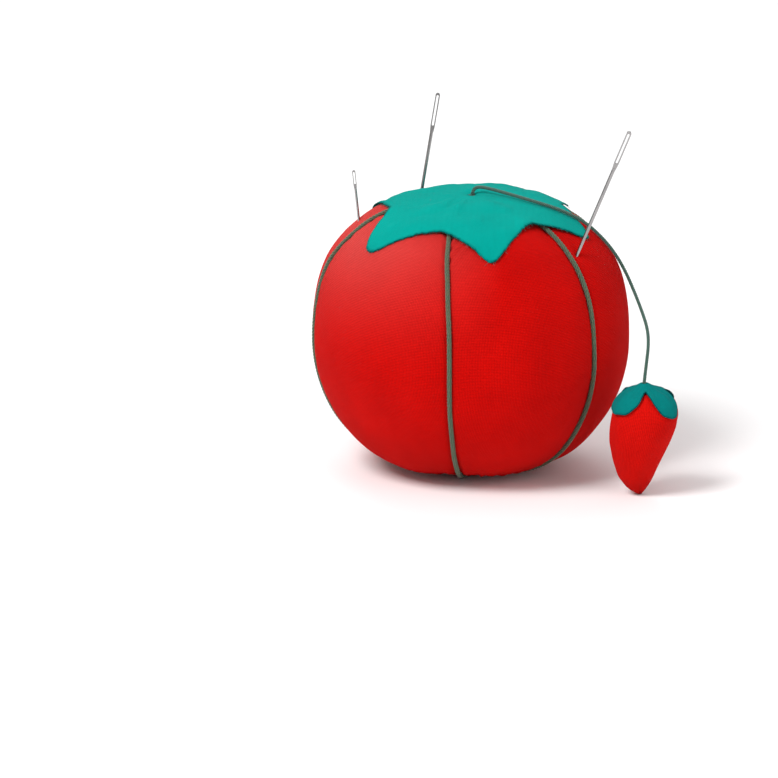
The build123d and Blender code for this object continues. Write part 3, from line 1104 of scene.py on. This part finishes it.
def berryTables():
    table = np.array(strawberry["outline"])
    run = np.concatenate([[0], np.cumsum(np.linalg.norm(np.diff(table[:, :2], axis=0), axis=1))])
    fine = np.linspace(0, run[-1], 900)
    values = [np.interp(fine, run, table[:, k]) for k in range(3)]
    half = strawberry["smoothing"]
    window = np.hanning(2 * half + 1)
    window /= window.sum()
    smooth = []
    for column in values:
        before = 2 * column[0] - column[half:0:-1]
        after = 2 * column[-1] - column[-2 : -half - 2 : -1]
        smooth.append(np.convolve(np.concatenate([before, column, after]), window, "valid"))
    return fine, smooth


berryRun, (berryHeight, berryRadius, berryShift) = berryTables()
berryLength = berryRun[-1]


def berryPoints(run, azimuth, offset):
    h = np.interp(run, berryRun, berryHeight)
    r = np.maximum(np.interp(run, berryRun, berryRadius), 0.05)
    shift = np.interp(run, berryRun, berryShift)
    slopeH = np.interp(run, berryRun, np.gradient(berryHeight, berryRun))
    slopeR = np.interp(run, berryRun, np.gradient(berryRadius, berryRun))
    size = np.sqrt(slopeH**2 + slopeR**2)
    reach = r + offset * slopeH / size
    height = h - offset * slopeR / size
    angle = np.radians(azimuth)
    axis = Vector(strawberry["axis"]).normalized()
    back = Vector((1, 0, 0)).cross(-axis).normalized()
    side = reach * np.sin(angle) + shift
    depth = -reach * np.cos(angle) * strawberry["flattened"]
    foot = np.array(strawberry["foot"])
    return (
        foot
        + side[..., None] * np.array((1, 0, 0))
        + depth[..., None] * np.array(back if back.y > 0 else -back)
        + height[..., None] * np.array(axis)
    )


def buildStrawberry():
    rows, columns = strawberry["rows"], strawberry["columns"]
    runs = np.linspace(0, berryLength, rows)
    azimuths = np.arange(columns) * 360 / columns
    points, faces, corners = [], [], []
    for run in runs:
        row = []
        for azimuth in azimuths:
            x, y = math.sin(math.radians(azimuth)), -math.cos(math.radians(azimuth))
            shift = noise.noise(Vector((x * 2, y * 2, run / 8))) * strawberry["lumps"]
            turned = abs((azimuth - strawberry["seamAzimuth"] + 180) % 360 - 180)
            seam = math.radians(turned) * strawberry["seamRadius"]
            tug = noise.noise(Vector((run / 1.8, 2, 6))) * strawberry["seamTug"]
            valley = math.exp(-((seam / strawberry["seamWidth"]) ** 2))
            shift -= (strawberry["seamDepth"] + tug) * valley
            gather = max(0.0, 1 - (berryLength - run) / strawberry["gatherLength"]) ** 1.5
            folds = abs(noise.noise(Vector((x * 9, y * 9, run / 12))))
            shift -= folds * strawberry["gathers"] * gather
            tip = max(0.0, 1 - run / strawberry["tipLength"]) * min(1.0, run)
            folds = abs(noise.noise(Vector((x * 2.4, y * 2.4, 9))))
            shift -= folds * strawberry["tipFolds"] * tip
            row.append(shift)
        points.append(berryPoints(np.full(columns, run), azimuths, np.array(row)))
    points = np.concatenate(points)
    points[:, 2] = np.maximum(points[:, 2], 0.01)
    around = math.radians(360 / columns) * strawberry["clothRadius"]
    for i in range(rows - 1):
        for j in range(columns):
            n = (j + 1) % columns
            here, there = i * columns, (i + 1) * columns
            faces.append((here + j, here + n, there + n, there + j))
            left, right = j * around, (j + 1) * around
            corners += [(left, runs[i]), (right, runs[i]), (right, runs[i + 1]), (left, runs[i + 1])]
    points = points.tolist()
    for row in (0, rows - 1):
        ring = np.array(points[row * columns : (row + 1) * columns])
        points.append(ring.mean(0).tolist())
        for j in range(columns):
            n = (j + 1) % columns
            pair = (n, j) if row == 0 else (j, n)
            faces.append((len(points) - 1, row * columns + pair[0], row * columns + pair[1]))
            corners += [(j * around, runs[row])] * 3
    piece = meshPiece(
        "strawberryCover",
        np.array(points) * millimetre,
        faces,
        np.array(corners) * millimetre,
        berryCloth,
        "strawberry",
    )
    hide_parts("strawberry_cover", "strawberry_filling")


def buildCap():
    columns, rows = strawberry["capColumns"], strawberry["capRows"]
    azimuths = np.arange(columns) * 360 / columns
    reach = starRadius(
        strawberry["capTips"],
        strawberry["capNotches"],
        azimuths,
        strawberry["capRounding"],
        strawberry["capAllowance"],
    )
    reach = reach * strawberry["capScale"]
    shares = np.linspace(0, 1, rows)
    points, uvs, nearEdge = [], [], []
    for share in shares:
        drop = strawberry["capHole"] + (reach - strawberry["capHole"]) * share
        runs = berryLength - drop
        lifts = []
        for azimuth, depth in zip(azimuths, drop):
            x, y = math.sin(math.radians(azimuth)), -math.cos(math.radians(azimuth))
            pleat = noise.noise(Vector((x * 3.2, y * 3.2, 2))) * strawberry["capPleats"]
            pleat *= min(1, depth / 5)
            peak = strawberry["capPeak"] * math.exp(-((depth / strawberry["capPeakWidth"]) ** 2))
            lift = strawberry["capLift"] + pleat + strawberry["capRimLift"] * share**6
            lifts.append(max(lift, strawberry["capLowest"]) + peak)
        points.append(berryPoints(runs, azimuths, np.array(lifts)))
        angle = np.radians(azimuths)
        uvs += np.stack([drop * np.sin(angle), -drop * np.cos(angle)], 1).tolist()
        nearEdge += np.clip(1 - (reach - drop) / strawberry["capRimWidth"], 0, 1).tolist()
    piece = clothFromGrid(
        "strawberryCap",
        np.concatenate(points) * millimetre,
        (rows, columns),
        (np.array(uvs) * millimetre).tolist(),
        nearEdge,
        strawberry["capThickness"] * millimetre,
        capCloth,
        "strawberry",
    )
    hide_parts("strawberry_cap")


buildStrawberry()
buildCap()
print("strawberry is filled and capped")


# knots, gathers and needles

# thickness as a share of the node's size, lay and step as shares of that thickness
knot = {"thickness": 0.36, "lay": 2.1, "step": 0.3}
# all four as shares of the CAD thread's thickness, except the number of stitches
gather = {"thickness": 0.8, "lay": 2.2, "step": 0.4, "stitches": 7, "stitchHeight": 0.15}


def tieKnot(name, node, material, body):
    low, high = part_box(node)
    centre, size = (low + high) / 2, (high - low)
    turn = np.linspace(0, 2 * math.pi, 160, endpoint=False)
    line = np.stack(
        [
            np.sin(turn) + 2 * np.sin(2 * turn),
            np.cos(turn) - 2 * np.cos(2 * turn),
            -np.sin(3 * turn) * 1.3,
        ],
        1,
    )
    thick = min(size) * knot["thickness"]
    half = (np.array(size) - thick) / 2
    line = line / np.abs(line).max(0) * half + np.array(centre)
    lay, step = thick * knot["lay"], thick * knot["step"]
    piece, _ = twistedYarn(name, line, thick, lay, step, material, body, closed=True)
    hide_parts(node)


def tieGather(name, node, body):
    low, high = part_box(node)
    centre = (low + high) / 2
    thick = high.z - low.z
    reach = (high.x - low.x - thick) / 2
    turn = np.linspace(0, 2 * math.pi, 120, endpoint=False)
    wave = np.sin(gather["stitches"] * turn) * thick * gather["stitchHeight"]
    line = np.stack([np.sin(turn) * reach, np.cos(turn) * reach, wave], 1) + np.array(centre)
    width, lay, step = (thick * gather[key] for key in ("thickness", "lay", "step"))
    piece, _ = twistedYarn(name, line, width, lay, step, paleThread, body, closed=True)
    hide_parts(node)


tieKnot("anchorKnot", "cord_anchor_knot", hangThread, "cushion")
tieKnot("footKnot", "foot_knot", seamThread, "cushion")
tieKnot("strawberryKnot", "strawberry_knot", hangThread, "strawberry")
tieGather("crownGather", "top_gather_thread", "cushion")
tieGather("footGather", "bottom_gather_thread", "cushion")
tieGather("strawberryGather", "strawberry_gather_thread", "strawberry")

for needleName in ("needle_back", "needle_right", "needle_left"):
    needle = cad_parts[needleName]
    needle.data.materials.clear()
    needle.data.materials.append(steel)
print("knots are tied and needles are set")
